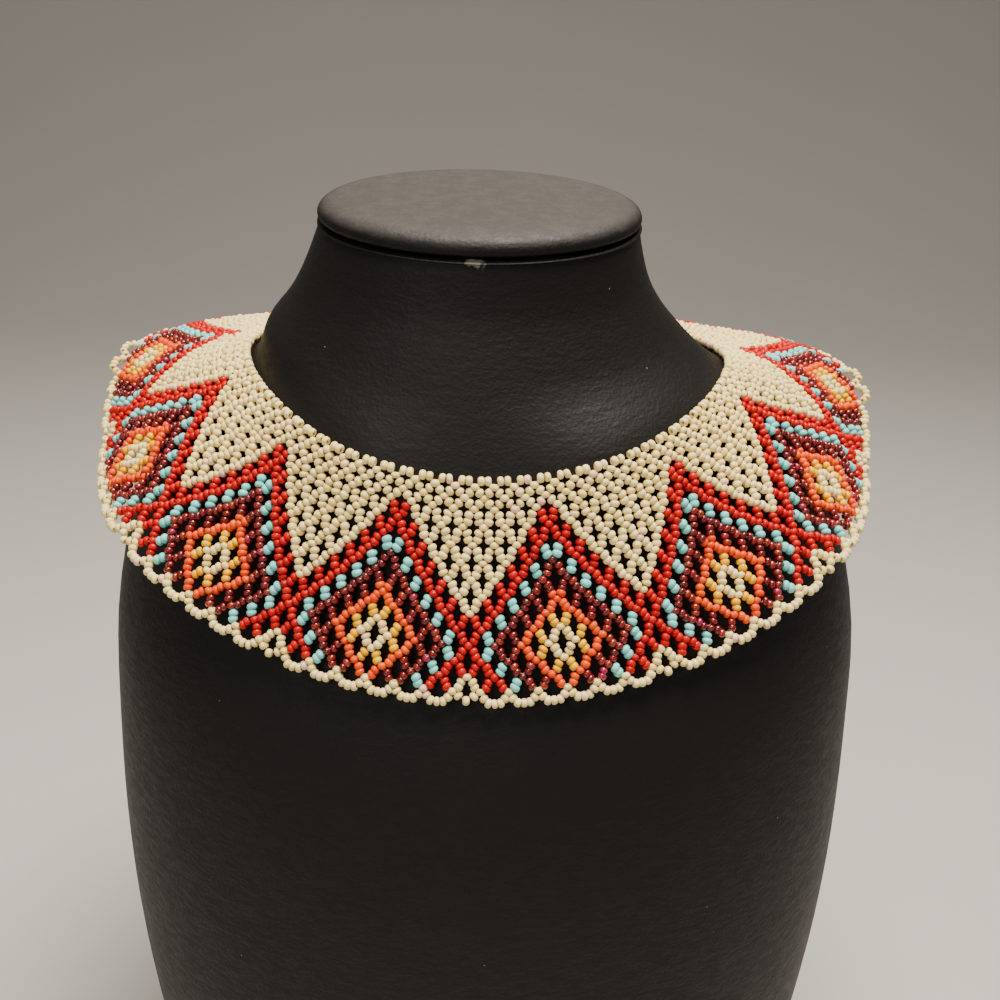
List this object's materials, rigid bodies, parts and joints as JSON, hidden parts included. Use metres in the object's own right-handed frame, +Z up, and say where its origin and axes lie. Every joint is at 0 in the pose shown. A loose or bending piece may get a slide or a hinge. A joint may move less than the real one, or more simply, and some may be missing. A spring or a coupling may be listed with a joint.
{
  "type": "bib necklace on neck bust",
  "caption": "Wide netted glass-bead bib collar with a zigzag and diamond border, worn on a padded leatherette neck bust.",
  "frame": {"origin": "centre of the whole object's footprint, on the underside of the bust's base", "axes": "+Z up, -Y out of the bust's chest, +X towards the wearer's left"},
  "size_m": [0.2331, 0.1728, 0.3276],
  "materials": {
    "leatherette": "matt black leatherette, fine pebble grain",
    "bead_net": "glass seed beads in ivory, red, turquoise, maroon, orange and yellow",
    "ivory_bead": "opaque ivory glass seed beads",
    "red_bead": "opaque red glass seed beads",
    "turquoise_bead": "opaque pale turquoise glass seed beads",
    "maroon_bead": "glossy deep maroon glass seed beads",
    "orange_bead": "opaque orange glass seed beads",
    "yellow_bead": "opaque yellow glass seed beads",
    "thread": "fine white nylon beading thread",
    "clasp_metal": "plain gilt"
  },
  "bodies": {
    "root": {"bust_body": "leatherette", "neck_cap": "leatherette", "net_collar": "bead_net", "neckline_edge": "ivory_bead", "picot_edge": "ivory_bead", "clasp": "clasp_metal"}
  },
  "joints": []
}
